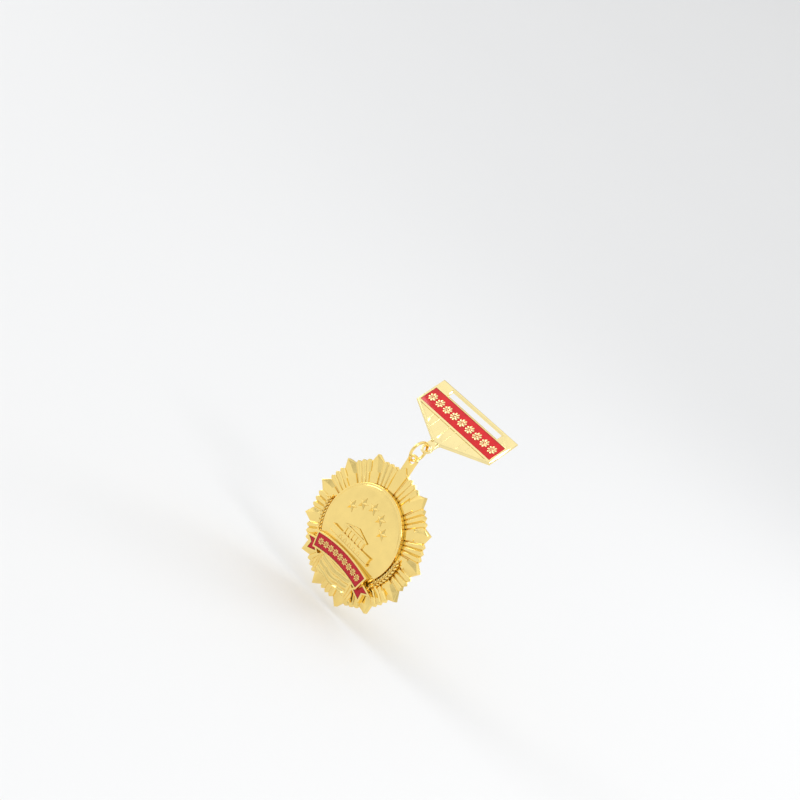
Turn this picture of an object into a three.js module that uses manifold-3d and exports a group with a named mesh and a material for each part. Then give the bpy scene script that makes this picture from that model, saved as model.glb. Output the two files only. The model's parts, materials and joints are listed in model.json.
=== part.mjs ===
// Medal: a thirteen-ray star badge that hangs by a jump ring from a hanger bar with a brooch pin.
// Units are millimetres and +Z is up. The badge hangs plumb and faces -Y; the hanger bar leans back
// over it. The origin is the middle of the closed pin, where the medal is pinned to cloth.
import * as THREE from 'three';
import { mergeVertices } from 'three/addons/utils/BufferGeometryUtils.js';
import Module from 'manifold-3d';

const wasm = await Module();
wasm.setup();

// ---- driving dimensions ----
const GAP = 0.3; // clearance between a piece and the one it rests on
const ENAMEL_GAP = 0.2; // clearance of an enamel fill in its pocket

// star plate, in the badge's own frame: x right, y up, z towards the viewer
const RAYS = 13; // large rays
const SMALL_RAYS = 3; // small rays between two large ones
const TIP_R = 34.8;
const SMALL_TIP_R = 32.5;
const VALLEY_R = 31.4;
const LARGE_HALF = THREE.MathUtils.degToRad(6.1); // half the angle of a large ray
const PLATE_BACK = -2.6;
const PLATE_FRONT = -0.9; // front of the plate between and behind the rays
const LARGE_RAY_TOP = 0;
const SMALL_RAY_TOP = -0.3;

// centre disc
const DISC_R = 21.9;
const DISC_BACK = PLATE_FRONT + GAP;
const DISC_EDGE = 1.9; // height of the rim
const DOME = 1.8; // rise from the rim to the middle
const DISC_CHAMFER = 0.4;

// five-pointed stars and hall struck on the disc
const STARS = 5;
const STAR_ARC_R = 12.5;
const STAR_STEP = THREE.MathUtils.degToRad(29);
const STAR_R = 2.9;
const STAR_NOTCH = 0.42; // a star's inner corners, as a share of its radius
const STAR_HEIGHT = 1.2;
const HALL_FLOOR = 2.2; // the hall is struck from this height
const HALL_FRONT = 4.2;
const PLINTH = { y: -6.6, width: 26, height: 3.8 };
const HALL_CUT = { middle: 3, depth: 4 }; // recess that clears the plinth
const HALL_WALL = { y: -3.1, width: 13, height: 3.6 };
const COLUMNS = 6;
const COLUMN_STEP = 2.3;
const COLUMN_WIDTH = 0.9;
const ROOF = [[-7.6, -1.5], [7.6, -1.5], [0, 1.5]];

// curved banner, its swallow tails and the drapery under it
const BANNER_CENTRE_Y = -81.65;
const BANNER_OUTER_R = 71;
const BANNER_INNER_R = 64.85;
const BANNER_HALF = THREE.MathUtils.degToRad(13.5);
const BANNER_BORDER = 0.8;
const BANNER_FRONT = 4.6;
const TAIL_FRONT = 3.2;
const POCKET = 0.8; // depth of an enamel pocket
const TAIL = [[16.9, -16.3], [21.2, -17.4], [18.3, -18.85], [18.65, -22.1], [13.9, -20.45], [15.4, -19.4]];
const SWAG_TOP_Y = -17;
const SWAG_BOTTOM_Y = -26.8;
const SWAG_TOP_HALF = 12;
const SWAG_BOTTOM_HALF = 14.6;
const SWAG_FRONT = 2.4;
const SCALLOPS = 3;
const SCALLOP_DROP = 1.1;
const SWAG_FALL = { x: 10.4, y: -22.6, width: 1.2, height: 6, depth: 1.6 }; // fold at each side

// laurel sprigs round the lower half of the disc
const SPRIG_R = 23.8;
const SPRIG_START = THREE.MathUtils.degToRad(2);
const SPRIG_END = THREE.MathUtils.degToRad(-37);
const SPRIG_LEAVES = 7;
const SPRIG_FRONT = 1.7;
const OUTER_LEAF = { offset: 0.75, tilt: 1.15, length: 2.9, width: 1.35 };
const INNER_LEAF = { offset: -0.7, tilt: 1.95, length: 2.5, width: 1.2 };
const STALK_HALF = 0.45;

// eyes and jump ring
const EYE_R = 2.8;
const EYE_HOLE_R = 1.5;
const EYE_THICKNESS = 1.4;
const TONGUE_HALF = 2.7;
const TONGUE_ROOT_Y = 28;
const BADGE_EYE = new THREE.Vector3(0, 39, -1.2); // centre of the badge's eye
const RING_R = 4.7; // to the middle of the wire
const WIRE_R = 0.65;
const HANGER_LEAN = THREE.MathUtils.degToRad(39.9);
const HANGER_ROUND_RING = THREE.MathUtils.degToRad(60); // where the hanger's eye sits on the ring

// hanger bar, in its own frame: x right, y up from its eye, z towards the viewer
const HANGER_HALF = 25.05;
const HANGER_TOP = 29.8;
const HANGER_SHOULDER = 13.9;
const HANGER_HALF_THICKNESS = 1;
const NECK_Y = 4.7;
const NECK_HALF = 3.2;
const NECK_WAIST = 2.4; // half width of the neck beside the eye
const HANGER_BEVEL = 0.8;
const HANGER_BEVEL_DEPTH = 0.5;
const SLOT_HALF = 16.8;
const SLOT_LOW = 25.1;
const SLOT_HIGH = 28.1;
const BAND_HALF = 23.6; // enamel band
const BAND_LOW = 15.1;
const BAND_HIGH = 24.1;
const FIELD_DEPTH = 0.35; // sunk field under the band
const FIELD_BORDER = 1.3; // raised border along the sloping edges
const RIB_HALF = 1.95;
const RIB_STEP = 10.6;
const RIB_LENGTH = 14;
const ROSETTES = 9;
const HANGER_ROSETTE_R = 2;
const HANGER_ROSETTE_STEP = 5.05;
const BANNER_ROSETTE_R = 1.5;
const BANNER_ROSETTE_STEP = THREE.MathUtils.degToRad(2.75);

// brooch pin on the hanger's back
const PIN_Y = 19.5; // height of the pin on the hanger
const PIN_Z = -3.9; // the pin's axis
const PIN_BAR = { half: 17.5, height: 3.6, thickness: 0.8 };
const HINGE_X = -14.5;
const CATCH_X = 13.5;
const PIN_R = 0.5;
const KNUCKLE_R = 1.2;
const KNUCKLE_HALF = 0.6;
const CHEEK = { gap: 0.15, thickness: 0.7, half: 1.3 };
const RIVET_R = 0.45;
const RIVET_HEAD = { radius: 0.85, thickness: 0.35 };
const RUNNING = 0.06; // radial clearance of the pin on its rivet
const ROTOR = { inner: 0.9, outer: 1.4, half: 1.9, slot: 0.8 };
const HOUSING = { inner: 1.55, outer: 2.1, half: 1.1, slot: 1.0 };
const POINT_LENGTH = 4;
const POINT_PAST_CATCH = 3.6;
const TAB = { offset: 0.25, rise: 1.75, thickness: 0.5, height: 1.3, width: 1.1 }; // thumb tab of the catch
const CLEAR = 9; // reach of a cutting block that only has to pass through

// rivets that hold the disc and the banner to the plate
const RIVET_SHANK_R = 0.9;
const RIVET_DEPTH = 0.9; // how far a rivet enters the piece it holds
const DISC_RIVET_X = 9;
const BANNER_RIVET = { x: 17.5, y: -18.5 };

const GOLD = { color: 0xf2cf7a, roughness: 0.16, metalness: 1 };
const PALE_GOLD = { color: 0xf5dca0, roughness: 0.14, metalness: 1 };
const RED_ENAMEL = { color: 0xc8141e, roughness: 0.08, metalness: 0 };
const DEEP_ENAMEL = { color: 0xb0101a, roughness: 0.08, metalness: 0 };
const PIN_METAL = { color: 0xe0c07a, roughness: 0.3, metalness: 1 };

// ---- small helpers ----
const polar = (r, angle) => new THREE.Vector2(r * Math.cos(angle), r * Math.sin(angle));

function toSolid(geometry) {
  const bare = geometry.clone();
  bare.deleteAttribute('normal');
  bare.deleteAttribute('uv');
  const merged = mergeVertices(bare, 1e-4);
  const vertProperties = new Float32Array(merged.attributes.position.array);
  const triVerts = new Uint32Array(merged.index.array);
  return new wasm.Manifold(new wasm.Mesh({ numProp: 3, vertProperties, triVerts }));
}

function toGeometry(solid) {
  const mesh = solid.getMesh();
  const geometry = new THREE.BufferGeometry();
  geometry.setAttribute('position', new THREE.BufferAttribute(mesh.vertProperties, 3));
  geometry.setIndex(new THREE.BufferAttribute(mesh.triVerts, 1));
  geometry.computeVertexNormals();
  return geometry;
}

const join = (solids) => solids.reduce((whole, next) => whole.add(next));

function slab(points, low, high) {
  const outline = new THREE.Shape(points.map((p) => new THREE.Vector2(p.x, p.y)));
  const geometry = new THREE.ExtrudeGeometry(outline, { depth: high - low, bevelEnabled: false });
  return toSolid(geometry.translate(0, 0, low));
}

// A closed body between two convex outlines with the same number of corners.
function frustum(lower, low, upper, high) {
  const count = lower.length;
  const corners = [...lower.map((p) => [p.x, p.y, low]), ...upper.map((p) => [p.x, p.y, high])];
  const faces = [];
  for (let i = 1; i < count - 1; i++) {
    faces.push(0, i + 1, i, count, count + i, count + i + 1);
  }
  for (let i = 0; i < count; i++) {
    const next = (i + 1) % count;
    faces.push(i, next, count + next, i, count + next, count + i);
  }
  const geometry = new THREE.BufferGeometry();
  geometry.setAttribute('position', new THREE.Float32BufferAttribute(corners.flat(), 3));
  geometry.setIndex(faces);
  return toSolid(geometry);
}

// The outline moved outwards by a distance, or inwards where it is negative.
function grown(points, distance) {
  return points.map((p, i) => {
    const before = points[(i + points.length - 1) % points.length];
    const after = points[(i + 1) % points.length];
    const edgeIn = p.clone().sub(before).normalize();
    const edgeOut = after.clone().sub(p).normalize();
    const normalIn = new THREE.Vector2(edgeIn.y, -edgeIn.x);
    const normalOut = new THREE.Vector2(edgeOut.y, -edgeOut.x);
    const middle = normalIn.clone().add(normalOut).normalize();
    return p.clone().addScaledVector(middle, distance / middle.dot(normalIn));
  });
}

function rod(radius, low, high, x, y, sides = 16) {
  const geometry = new THREE.CylinderGeometry(radius, radius, high - low, sides);
  return toSolid(geometry.rotateX(Math.PI / 2).translate(x, y, (low + high) / 2));
}

function block(x, y, z, width, height, depth) {
  return toSolid(new THREE.BoxGeometry(width, height, depth).translate(x, y, z));
}

const mirrored = (points) => points.map((p) => new THREE.Vector2(-p.x, p.y)).reverse();

function piece(name, solid, finish) {
  const mesh = new THREE.Mesh(toGeometry(solid), new THREE.MeshStandardMaterial(finish));
  mesh.name = name;
  return mesh;
}

// ---- star plate ----
const RAY_STEP = (2 * Math.PI) / RAYS;
const SMALL_STEP = (RAY_STEP - 2 * LARGE_HALF) / SMALL_RAYS;
const topRay = Math.PI / 2;

function sunburstOutline() {
  const points = [];
  for (let k = 0; k < RAYS; k++) {
    const centre = topRay + k * RAY_STEP;
    points.push(polar(TIP_R, centre), polar(VALLEY_R, centre + LARGE_HALF));
    for (let t = 0; t < SMALL_RAYS; t++) {
      const middle = centre + LARGE_HALF + (t + 0.5) * SMALL_STEP;
      points.push(polar(SMALL_TIP_R, middle), polar(VALLEY_R, middle + SMALL_STEP / 2));
    }
  }
  return points;
}

function ray(centre, half, tipR, top) {
  const root = DISC_R + GAP;
  const outline = (share, tip, valley) => [
    polar(root, centre - half * share),
    polar(valley, centre - half * share),
    polar(tip, centre),
    polar(valley, centre + half * share),
    polar(root, centre + half * share),
  ];
  const foot = outline(0.97, tipR - 0.1, VALLEY_R);
  return frustum(foot, PLATE_FRONT - 0.2, outline(0.55, tipR - 0.8, VALLEY_R - 0.4), top);
}

function starPlate() {
  const solids = [slab(sunburstOutline(), PLATE_BACK, PLATE_FRONT)];
  for (let k = 0; k < RAYS; k++) {
    const centre = topRay + k * RAY_STEP;
    solids.push(ray(centre, LARGE_HALF, TIP_R, LARGE_RAY_TOP));
    for (let t = 0; t < SMALL_RAYS; t++) {
      const middle = centre + LARGE_HALF + (t + 0.5) * SMALL_STEP;
      solids.push(ray(middle, SMALL_STEP / 2, SMALL_TIP_R, SMALL_RAY_TOP));
    }
  }
  const { y, z } = BADGE_EYE;
  const eyeBack = z - EYE_THICKNESS / 2;
  const eyeFront = z + EYE_THICKNESS / 2;
  solids.push(block(0, (y + TONGUE_ROOT_Y) / 2, z, 2 * TONGUE_HALF, y - TONGUE_ROOT_Y, EYE_THICKNESS));
  solids.push(rod(EYE_R, eyeBack, eyeFront, 0, y, 32));
  const hole = rod(EYE_HOLE_R, eyeBack - 1, eyeFront + 1, 0, y, 24);
  const rivetHoles = Object.values(RIVETS).map((r) => rod(RIVET_SHANK_R + GAP, PLATE_BACK - 1, 1, r.x, r.y));
  return join(solids).subtract(hole).subtract(join(rivetHoles));
}

// ---- centre disc ----
function discProfile(grow) {
  const radius = DISC_R + grow;
  const crown = (r) => DISC_EDGE + grow + DOME * (1 - (r / DISC_R) ** 2);
  const points = [new THREE.Vector2(0, DISC_BACK - grow), new THREE.Vector2(radius, DISC_BACK - grow)];
  points.push(new THREE.Vector2(radius, DISC_EDGE + grow - DISC_CHAMFER));
  for (const share of [1, 0.84, 0.68, 0.5, 0.3]) {
    const r = (radius - DISC_CHAMFER) * share;
    points.push(new THREE.Vector2(r, crown(r)));
  }
  points.push(new THREE.Vector2(0, crown(0)));
  return points;
}

function discBody(grow = 0) {
  return toSolid(new THREE.LatheGeometry(discProfile(grow), 60).rotateX(Math.PI / 2));
}

const domeHeight = (r) => DISC_EDGE + DOME * (1 - (r / DISC_R) ** 2);

// A five-pointed star with a faceted top that rises to its middle.
function facetedStar(x, y) {
  const tips = 5;
  const base = domeHeight(Math.hypot(x, y)) - 0.8;
  const shoulder = base + 0.9;
  const ring = Array.from({ length: 2 * tips }, (_, i) => {
    const r = i % 2 ? STAR_R * STAR_NOTCH : STAR_R;
    return polar(r, topRay + (i * Math.PI) / tips).add(new THREE.Vector2(x, y));
  });
  const corners = [[x, y, base], [x, y, shoulder + STAR_HEIGHT - 0.1]];
  ring.forEach((p) => corners.push([p.x, p.y, base], [p.x, p.y, shoulder]));
  const faces = [];
  for (let i = 0; i < ring.length; i++) {
    const here = 2 + 2 * i;
    const next = 2 + 2 * ((i + 1) % ring.length);
    faces.push(0, next, here, 1, here + 1, next + 1);
    faces.push(here, next, next + 1, here, next + 1, here + 1);
  }
  const geometry = new THREE.BufferGeometry();
  geometry.setAttribute('position', new THREE.Float32BufferAttribute(corners.flat(), 3));
  geometry.setIndex(faces);
  return toSolid(geometry);
}

function hall() {
  const depth = HALL_FRONT - HALL_FLOOR;
  const middle = (HALL_FRONT + HALL_FLOOR) / 2;
  const plinth = block(0, PLINTH.y, middle, PLINTH.width, PLINTH.height, depth);
  const wall = block(0, HALL_WALL.y, middle - 0.2, HALL_WALL.width, HALL_WALL.height, depth - 0.1);
  const roof = slab(ROOF.map((p) => new THREE.Vector2(...p)), HALL_FLOOR, HALL_FRONT);
  const columns = Array.from({ length: COLUMNS }, (_, i) => {
    const x = (i - (COLUMNS - 1) / 2) * COLUMN_STEP;
    return block(x, HALL_WALL.y, middle + 0.1, COLUMN_WIDTH, HALL_WALL.height, depth);
  });
  return [plinth, wall, roof, ...columns];
}

function centreDisc() {
  const stars = Array.from({ length: STARS }, (_, i) => {
    const spot = polar(STAR_ARC_R, topRay + (i - (STARS - 1) / 2) * STAR_STEP);
    return facetedStar(spot.x, spot.y);
  });
  const top = DISC_BACK + RIVET_DEPTH + GAP;
  const sockets = [-DISC_RIVET_X, DISC_RIVET_X].map((x) =>
    rod(RIVET_SHANK_R + GAP, DISC_BACK - 1, top, x, 0));
  return join([discBody(), ...stars, ...hall()]).subtract(join(sockets));
}

// ---- banner, tails and enamel ----
function bannerOutline(grow) {
  const half = BANNER_HALF + grow / BANNER_OUTER_R;
  const steps = 14;
  const at = (r, i) => {
    const angle = topRay + half * (1 - (2 * i) / steps);
    return polar(r, angle).add(new THREE.Vector2(0, BANNER_CENTRE_Y));
  };
  const outer = Array.from({ length: steps + 1 }, (_, i) => at(BANNER_OUTER_R + grow, i));
  const inner = Array.from({ length: steps + 1 }, (_, i) => at(BANNER_INNER_R - grow, steps - i));
  return [...outer, ...inner].reverse();
}

const tailOutline = (grow) => grown(TAIL.map((p) => new THREE.Vector2(...p)).reverse(), grow);

function bannerSolid(grow, low) {
  const rim = BANNER_BORDER + grow;
  const tails = [tailOutline(rim), mirrored(tailOutline(rim))];
  const bodies = tails.map((outline) => slab(outline, low, TAIL_FRONT + grow));
  return join([slab(bannerOutline(rim), low, BANNER_FRONT + grow), ...bodies]);
}

function bannerRosettes(radius, low, high) {
  return Array.from({ length: ROSETTES }, (_, i) => {
    const angle = topRay - (i - (ROSETTES - 1) / 2) * BANNER_ROSETTE_STEP;
    const spot = polar((BANNER_OUTER_R + BANNER_INNER_R) / 2, angle);
    return rod(radius, low, high, spot.x, spot.y + BANNER_CENTRE_Y, 8);
  });
}

function ribbonBanner() {
  const floor = LARGE_RAY_TOP + GAP;
  const band = slab(bannerOutline(BANNER_BORDER), 0, CLEAR);
  const tailPockets = [tailOutline(0), mirrored(tailOutline(0))].map((outline) =>
    slab(outline, TAIL_FRONT - POCKET, TAIL_FRONT + 1).subtract(band));
  const pockets = [slab(bannerOutline(0), BANNER_FRONT - POCKET, BANNER_FRONT + 1), ...tailPockets];
  const sockets = [-1, 1].map((side) => {
    const { x, y } = BANNER_RIVET;
    return rod(RIVET_SHANK_R + GAP, floor - 1, floor + RIVET_DEPTH + GAP, side * x, y);
  });
  const rosettes = bannerRosettes(BANNER_ROSETTE_R, BANNER_FRONT - POCKET - 0.2, BANNER_FRONT);
  const body = bannerSolid(0, floor).subtract(join(pockets)).add(join(rosettes));
  return body.subtract(discBody(GAP)).subtract(hallClearance()).subtract(join(sockets));
}

const hallClearance = () => {
  const { y, width, height } = PLINTH;
  return block(0, y, HALL_CUT.middle, width + 2 * GAP, height + 2 * GAP, HALL_CUT.depth);
};

function bannerEnamel() {
  const low = BANNER_FRONT - POCKET + ENAMEL_GAP;
  const high = BANNER_FRONT - 0.1;
  const holes = bannerRosettes(BANNER_ROSETTE_R + ENAMEL_GAP, low - 1, high + 1);
  return slab(bannerOutline(-ENAMEL_GAP), low, high).subtract(join(holes));
}

function tailEnamel(side) {
  const outline = side > 0 ? tailOutline(-ENAMEL_GAP) : mirrored(tailOutline(-ENAMEL_GAP));
  const body = slab(outline, TAIL_FRONT - POCKET + ENAMEL_GAP, TAIL_FRONT - 0.1);
  return body.subtract(slab(bannerOutline(BANNER_BORDER + ENAMEL_GAP), 0, CLEAR));
}

// ---- drapery under the banner ----
function drapery() {
  const corners = [new THREE.Vector2(-SWAG_TOP_HALF, SWAG_TOP_Y)];
  const steps = 6;
  for (let s = 0; s < SCALLOPS; s++) {
    for (let i = s ? 1 : 0; i <= steps; i++) {
      const along = (s + i / steps) / SCALLOPS;
      const drop = SCALLOP_DROP * (1 - Math.sin((Math.PI * i) / steps));
      corners.push(new THREE.Vector2(SWAG_BOTTOM_HALF * (2 * along - 1), SWAG_BOTTOM_Y + drop));
    }
  }
  corners.push(new THREE.Vector2(SWAG_TOP_HALF, SWAG_TOP_Y));
  const { x, y, width, height, depth } = SWAG_FALL;
  const folds = [-1, 1].map((side) => block(side * x, y, SWAG_FRONT - 0.4, width, height, depth));
  const cloth = slab(corners, LARGE_RAY_TOP + GAP, SWAG_FRONT).add(join(folds));
  return cloth.subtract(discBody(GAP)).subtract(bannerSolid(GAP, -3));
}

// ---- laurel sprigs ----
function leaf(angle, { offset, tilt, length, width }) {
  const outline = Array.from({ length: 8 }, (_, i) => {
    const turn = (i * Math.PI) / 4;
    return new THREE.Vector2((length / 2) * Math.cos(turn), (width / 2) * Math.sin(turn));
  });
  const spot = polar(SPRIG_R + offset, angle);
  const pivot = new THREE.Vector2();
  const place = (points) => points.map((p) => p.clone().rotateAround(pivot, angle + tilt).add(spot));
  const crest = outline.map((p) => p.clone().multiplyScalar(0.45));
  return frustum(place(outline), LARGE_RAY_TOP + GAP, place(crest), SPRIG_FRONT);
}

function rightSprig() {
  const along = (share) => SPRIG_START + (SPRIG_END - SPRIG_START) * share;
  const solids = [];
  for (let i = 0; i < SPRIG_LEAVES; i++) {
    const angle = along((i + 0.5) / SPRIG_LEAVES);
    solids.push(leaf(angle, OUTER_LEAF), leaf(angle, INNER_LEAF));
  }
  const steps = 10;
  const shares = Array.from({ length: steps + 1 }, (_, i) => i / steps);
  const inner = shares.map((share) => polar(SPRIG_R - STALK_HALF, along(share)));
  const outer = shares.map((share) => polar(SPRIG_R + STALK_HALF, along(1 - share)));
  solids.push(slab([...inner, ...outer].reverse(), LARGE_RAY_TOP + GAP, SPRIG_FRONT - 0.4));
  return join(solids).subtract(discBody(GAP)).subtract(bannerSolid(GAP, -3));
}

// ---- rivets, flush with the back of the plate ----
const RIVETS = {
  disc_rivet_left: { x: -DISC_RIVET_X, y: 0, top: DISC_BACK + RIVET_DEPTH },
  disc_rivet_right: { x: DISC_RIVET_X, y: 0, top: DISC_BACK + RIVET_DEPTH },
  banner_rivet_left: { x: -BANNER_RIVET.x, y: BANNER_RIVET.y, top: LARGE_RAY_TOP + GAP + RIVET_DEPTH },
  banner_rivet_right: { x: BANNER_RIVET.x, y: BANNER_RIVET.y, top: LARGE_RAY_TOP + GAP + RIVET_DEPTH },
};

// ---- hanger bar ----
function hangerOutline() {
  const eyeRise = Math.sqrt(EYE_R ** 2 - NECK_WAIST ** 2);
  const right = [
    [NECK_WAIST, -eyeRise],
    [NECK_WAIST + 0.2, eyeRise],
    [NECK_WAIST + 0.3, 3],
    [NECK_HALF, NECK_Y],
    [HANGER_HALF, HANGER_SHOULDER],
    [HANGER_HALF, HANGER_TOP],
  ].map((p) => new THREE.Vector2(...p));
  return [...right, ...mirrored(right)];
}

function fieldOutline() {
  const rise = (HANGER_SHOULDER - NECK_Y) / (HANGER_HALF - NECK_HALF);
  const high = BAND_LOW - 1;
  const low = NECK_Y + FIELD_BORDER + 0.3;
  const half = (y) => NECK_HALF + (y - FIELD_BORDER - NECK_Y) / rise;
  const right = [[half(low), low], [half(high), high]].map((p) => new THREE.Vector2(...p));
  return [...right, ...mirrored(right)];
}

const box2 = (half, low, high) =>
  [[-half, low], [half, low], [half, high], [-half, high]].map((p) => new THREE.Vector2(...p));

function hangerRosettes(radius, low, high) {
  const y = (BAND_LOW + BAND_HIGH) / 2;
  return Array.from({ length: ROSETTES }, (_, i) =>
    rod(radius, low, high, (i - (ROSETTES - 1) / 2) * HANGER_ROSETTE_STEP, y, 8));
}

function hangerPlate() {
  const front = HANGER_HALF_THICKNESS;
  const bevelled = new THREE.ExtrudeGeometry(new THREE.Shape(hangerOutline()), {
    depth: 2 * front,
    bevelThickness: HANGER_BEVEL_DEPTH,
    bevelSize: HANGER_BEVEL,
    bevelOffset: -HANGER_BEVEL,
    bevelSegments: 1,
  }).translate(0, 0, -front - HANGER_BEVEL_DEPTH);
  const keep = block(0, HANGER_TOP / 2, 0, 3 * HANGER_HALF, 3 * HANGER_TOP, 2 * front);
  const eye = rod(EYE_R, -EYE_THICKNESS / 2, EYE_THICKNESS / 2, 0, 0, 32);
  const body = toSolid(bevelled).intersect(keep).subtract(block(0, 0, 0, 8, 6, 3)).add(eye);
  const neck = block(0, 2.9, 0, 5.2, 2, EYE_THICKNESS);
  const field = slab(fieldOutline(), front - FIELD_DEPTH, front + 1);
  const ribs = [-1, 0, 1].map((i) => block(i * RIB_STEP, 9.5, front, 2 * RIB_HALF, RIB_LENGTH, 0.3));
  const sunk = field.subtract(join(ribs));
  const rosettes = hangerRosettes(HANGER_ROSETTE_R, front - POCKET - 0.2, front - 0.05);
  const cuts = [
    slab(box2(SLOT_HALF, SLOT_LOW, SLOT_HIGH), -3, 3),
    slab(box2(BAND_HALF, BAND_LOW, BAND_HIGH), front - POCKET, front + 1),
    sunk,
    rod(EYE_HOLE_R, -3, 3, 0, 0, 24),
  ];
  return body.add(neck).subtract(join(cuts)).add(join(rosettes));
}

function hangerEnamel() {
  const low = HANGER_HALF_THICKNESS - POCKET + ENAMEL_GAP;
  const high = HANGER_HALF_THICKNESS - 0.1;
  const outline = box2(BAND_HALF - ENAMEL_GAP, BAND_LOW + ENAMEL_GAP, BAND_HIGH - ENAMEL_GAP);
  const holes = hangerRosettes(HANGER_ROSETTE_R + ENAMEL_GAP, low - 1, high + 1);
  return slab(outline, low, high).subtract(join(holes));
}

// ---- brooch pin ----
// A tube or rod along x, centred on the pin's axis.
function alongX(radius, from, to, sides = 24) {
  const geometry = new THREE.CylinderGeometry(radius, radius, to - from, sides).rotateZ(Math.PI / 2);
  return toSolid(geometry.translate((from + to) / 2, PIN_Y, PIN_Z));
}

function alongY(radius, halfLength, sides = 24) {
  const geometry = new THREE.CylinderGeometry(radius, radius, 2 * halfLength, sides);
  return toSolid(geometry.translate(HINGE_X, PIN_Y, PIN_Z));
}

function pinBase() {
  const back = -HANGER_HALF_THICKNESS - GAP;
  const face = back - PIN_BAR.thickness;
  const bar = block(0, PIN_Y, (back + face) / 2, 2 * PIN_BAR.half, PIN_BAR.height, PIN_BAR.thickness);
  const cheeks = [-1, 1].map((side) => {
    const y = side * (KNUCKLE_HALF + CHEEK.gap + CHEEK.thickness / 2);
    const depth = face - PIN_Z + 0.1;
    const post = block(HINGE_X, PIN_Y + y, face - depth / 2 + 0.1, 2 * CHEEK.half, CHEEK.thickness, depth);
    const round = new THREE.CylinderGeometry(CHEEK.half, CHEEK.half, CHEEK.thickness, 24);
    return post.add(toSolid(round.translate(HINGE_X, PIN_Y + y, PIN_Z)));
  });
  const bore = alongY(RIVET_R + GAP, 4);
  const shell = alongX(HOUSING.outer, CATCH_X - HOUSING.half, CATCH_X + HOUSING.half);
  const foot = block(CATCH_X, PIN_Y, (face + PIN_Z) / 2, 2 * HOUSING.half, 2.4, face - PIN_Z + 0.2);
  const hollow = alongX(HOUSING.inner, CATCH_X - 3, CATCH_X + 3);
  const mouth = block(CATCH_X, PIN_Y, PIN_Z - 2, 6, 2 * HOUSING.slot, 4);
  const housing = shell.add(foot).subtract(hollow).subtract(mouth);
  return bar.add(join(cheeks).subtract(bore)).add(housing);
}

function pinRivet() {
  const reach = KNUCKLE_HALF + CHEEK.gap + CHEEK.thickness;
  const shank = alongY(RIVET_R, reach + GAP);
  const heads = [-1, 1].map((side) => {
    const head = new THREE.CylinderGeometry(RIVET_HEAD.radius, RIVET_HEAD.radius, RIVET_HEAD.thickness, 16);
    return toSolid(head.translate(HINGE_X, PIN_Y + side * (reach + GAP + 0.15), PIN_Z));
  });
  return shank.add(join(heads));
}

function pinStem() {
  const knuckle = alongY(KNUCKLE_R, KNUCKLE_HALF);
  const tip = CATCH_X + POINT_PAST_CATCH;
  const shank = alongX(PIN_R, HINGE_X, tip - POINT_LENGTH, 12);
  const point = new THREE.CylinderGeometry(PIN_R, 0.08, POINT_LENGTH, 12).rotateZ(Math.PI / 2);
  const cone = toSolid(point.translate(tip - POINT_LENGTH / 2, PIN_Y, PIN_Z));
  return knuckle.add(shank).add(cone).subtract(alongY(RIVET_R + RUNNING, 2));
}

function catchRotor() {
  const sleeve = alongX(ROTOR.outer, CATCH_X - ROTOR.half, CATCH_X + ROTOR.half);
  const tabX = CATCH_X + HOUSING.half + GAP + TAB.offset;
  const tab = block(tabX, PIN_Y + TAB.rise, PIN_Z, TAB.thickness, TAB.height, TAB.width);
  const bore = alongX(ROTOR.inner, CATCH_X - 3, CATCH_X + 3);
  const slot = block(CATCH_X, PIN_Y, PIN_Z - 2, 6, 2 * ROTOR.slot, 4);
  return sleeve.add(tab).subtract(bore).subtract(slot);
}

// ---- assembly ----
const ring = new THREE.TorusGeometry(RING_R, WIRE_R, 10, 44).rotateY(Math.PI / 2);

const ringCentre = BADGE_EYE.clone().add(new THREE.Vector3(0, RING_R, 0));
const hangerEye = new THREE.Vector3(0, Math.cos(HANGER_ROUND_RING), -Math.sin(HANGER_ROUND_RING))
  .multiplyScalar(RING_R)
  .add(ringCentre);

const hanger = new THREE.Group();
hanger.position.copy(hangerEye);
hanger.rotation.x = -HANGER_LEAN;
hanger.add(
  piece('hanger_plate', hangerPlate(), PALE_GOLD),
  piece('hanger_enamel', hangerEnamel(), RED_ENAMEL),
  piece('pin_base', pinBase(), PIN_METAL),
  piece('pin_rivet', pinRivet(), PIN_METAL),
  piece('pin_stem', pinStem(), PIN_METAL),
  piece('catch_rotor', catchRotor(), PIN_METAL),
);

const jumpRing = piece('jump_ring', toSolid(ring), GOLD);
jumpRing.position.copy(ringCentre);

const leftSprig = rightSprig().mirror([1, 0, 0]);
const badge = new THREE.Group();
badge.add(
  piece('star_plate', starPlate(), GOLD),
  piece('centre_disc', centreDisc(), GOLD),
  piece('ribbon_banner', ribbonBanner(), GOLD),
  piece('banner_enamel', bannerEnamel(), DEEP_ENAMEL),
  piece('banner_tail_enamel_right', tailEnamel(1), DEEP_ENAMEL),
  piece('banner_tail_enamel_left', tailEnamel(-1), DEEP_ENAMEL),
  piece('drapery_swag', drapery(), GOLD),
  piece('laurel_sprig_right', rightSprig(), GOLD),
  piece('laurel_sprig_left', leftSprig, GOLD),
);
for (const [name, { x, y, top }] of Object.entries(RIVETS)) {
  badge.add(piece(name, rod(RIVET_SHANK_R, PLATE_BACK, top, x, y), PIN_METAL));
}

// The pieces above stand in the badge's frame; this turns it upright and brings the pin to the origin.
const pinMiddle = new THREE.Vector3(0, PIN_Y, PIN_Z)
  .applyAxisAngle(new THREE.Vector3(1, 0, 0), -HANGER_LEAN)
  .add(hangerEye);
const upright = new THREE.Group();
upright.rotation.x = Math.PI / 2;
upright.position.set(0, pinMiddle.z, -pinMiddle.y);
upright.add(hanger, jumpRing, badge);

const medal = new THREE.Group();
medal.add(upright);

export default medal;
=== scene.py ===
import json
import math

import bmesh
import bpy
from mathutils import Matrix, Vector

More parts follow.
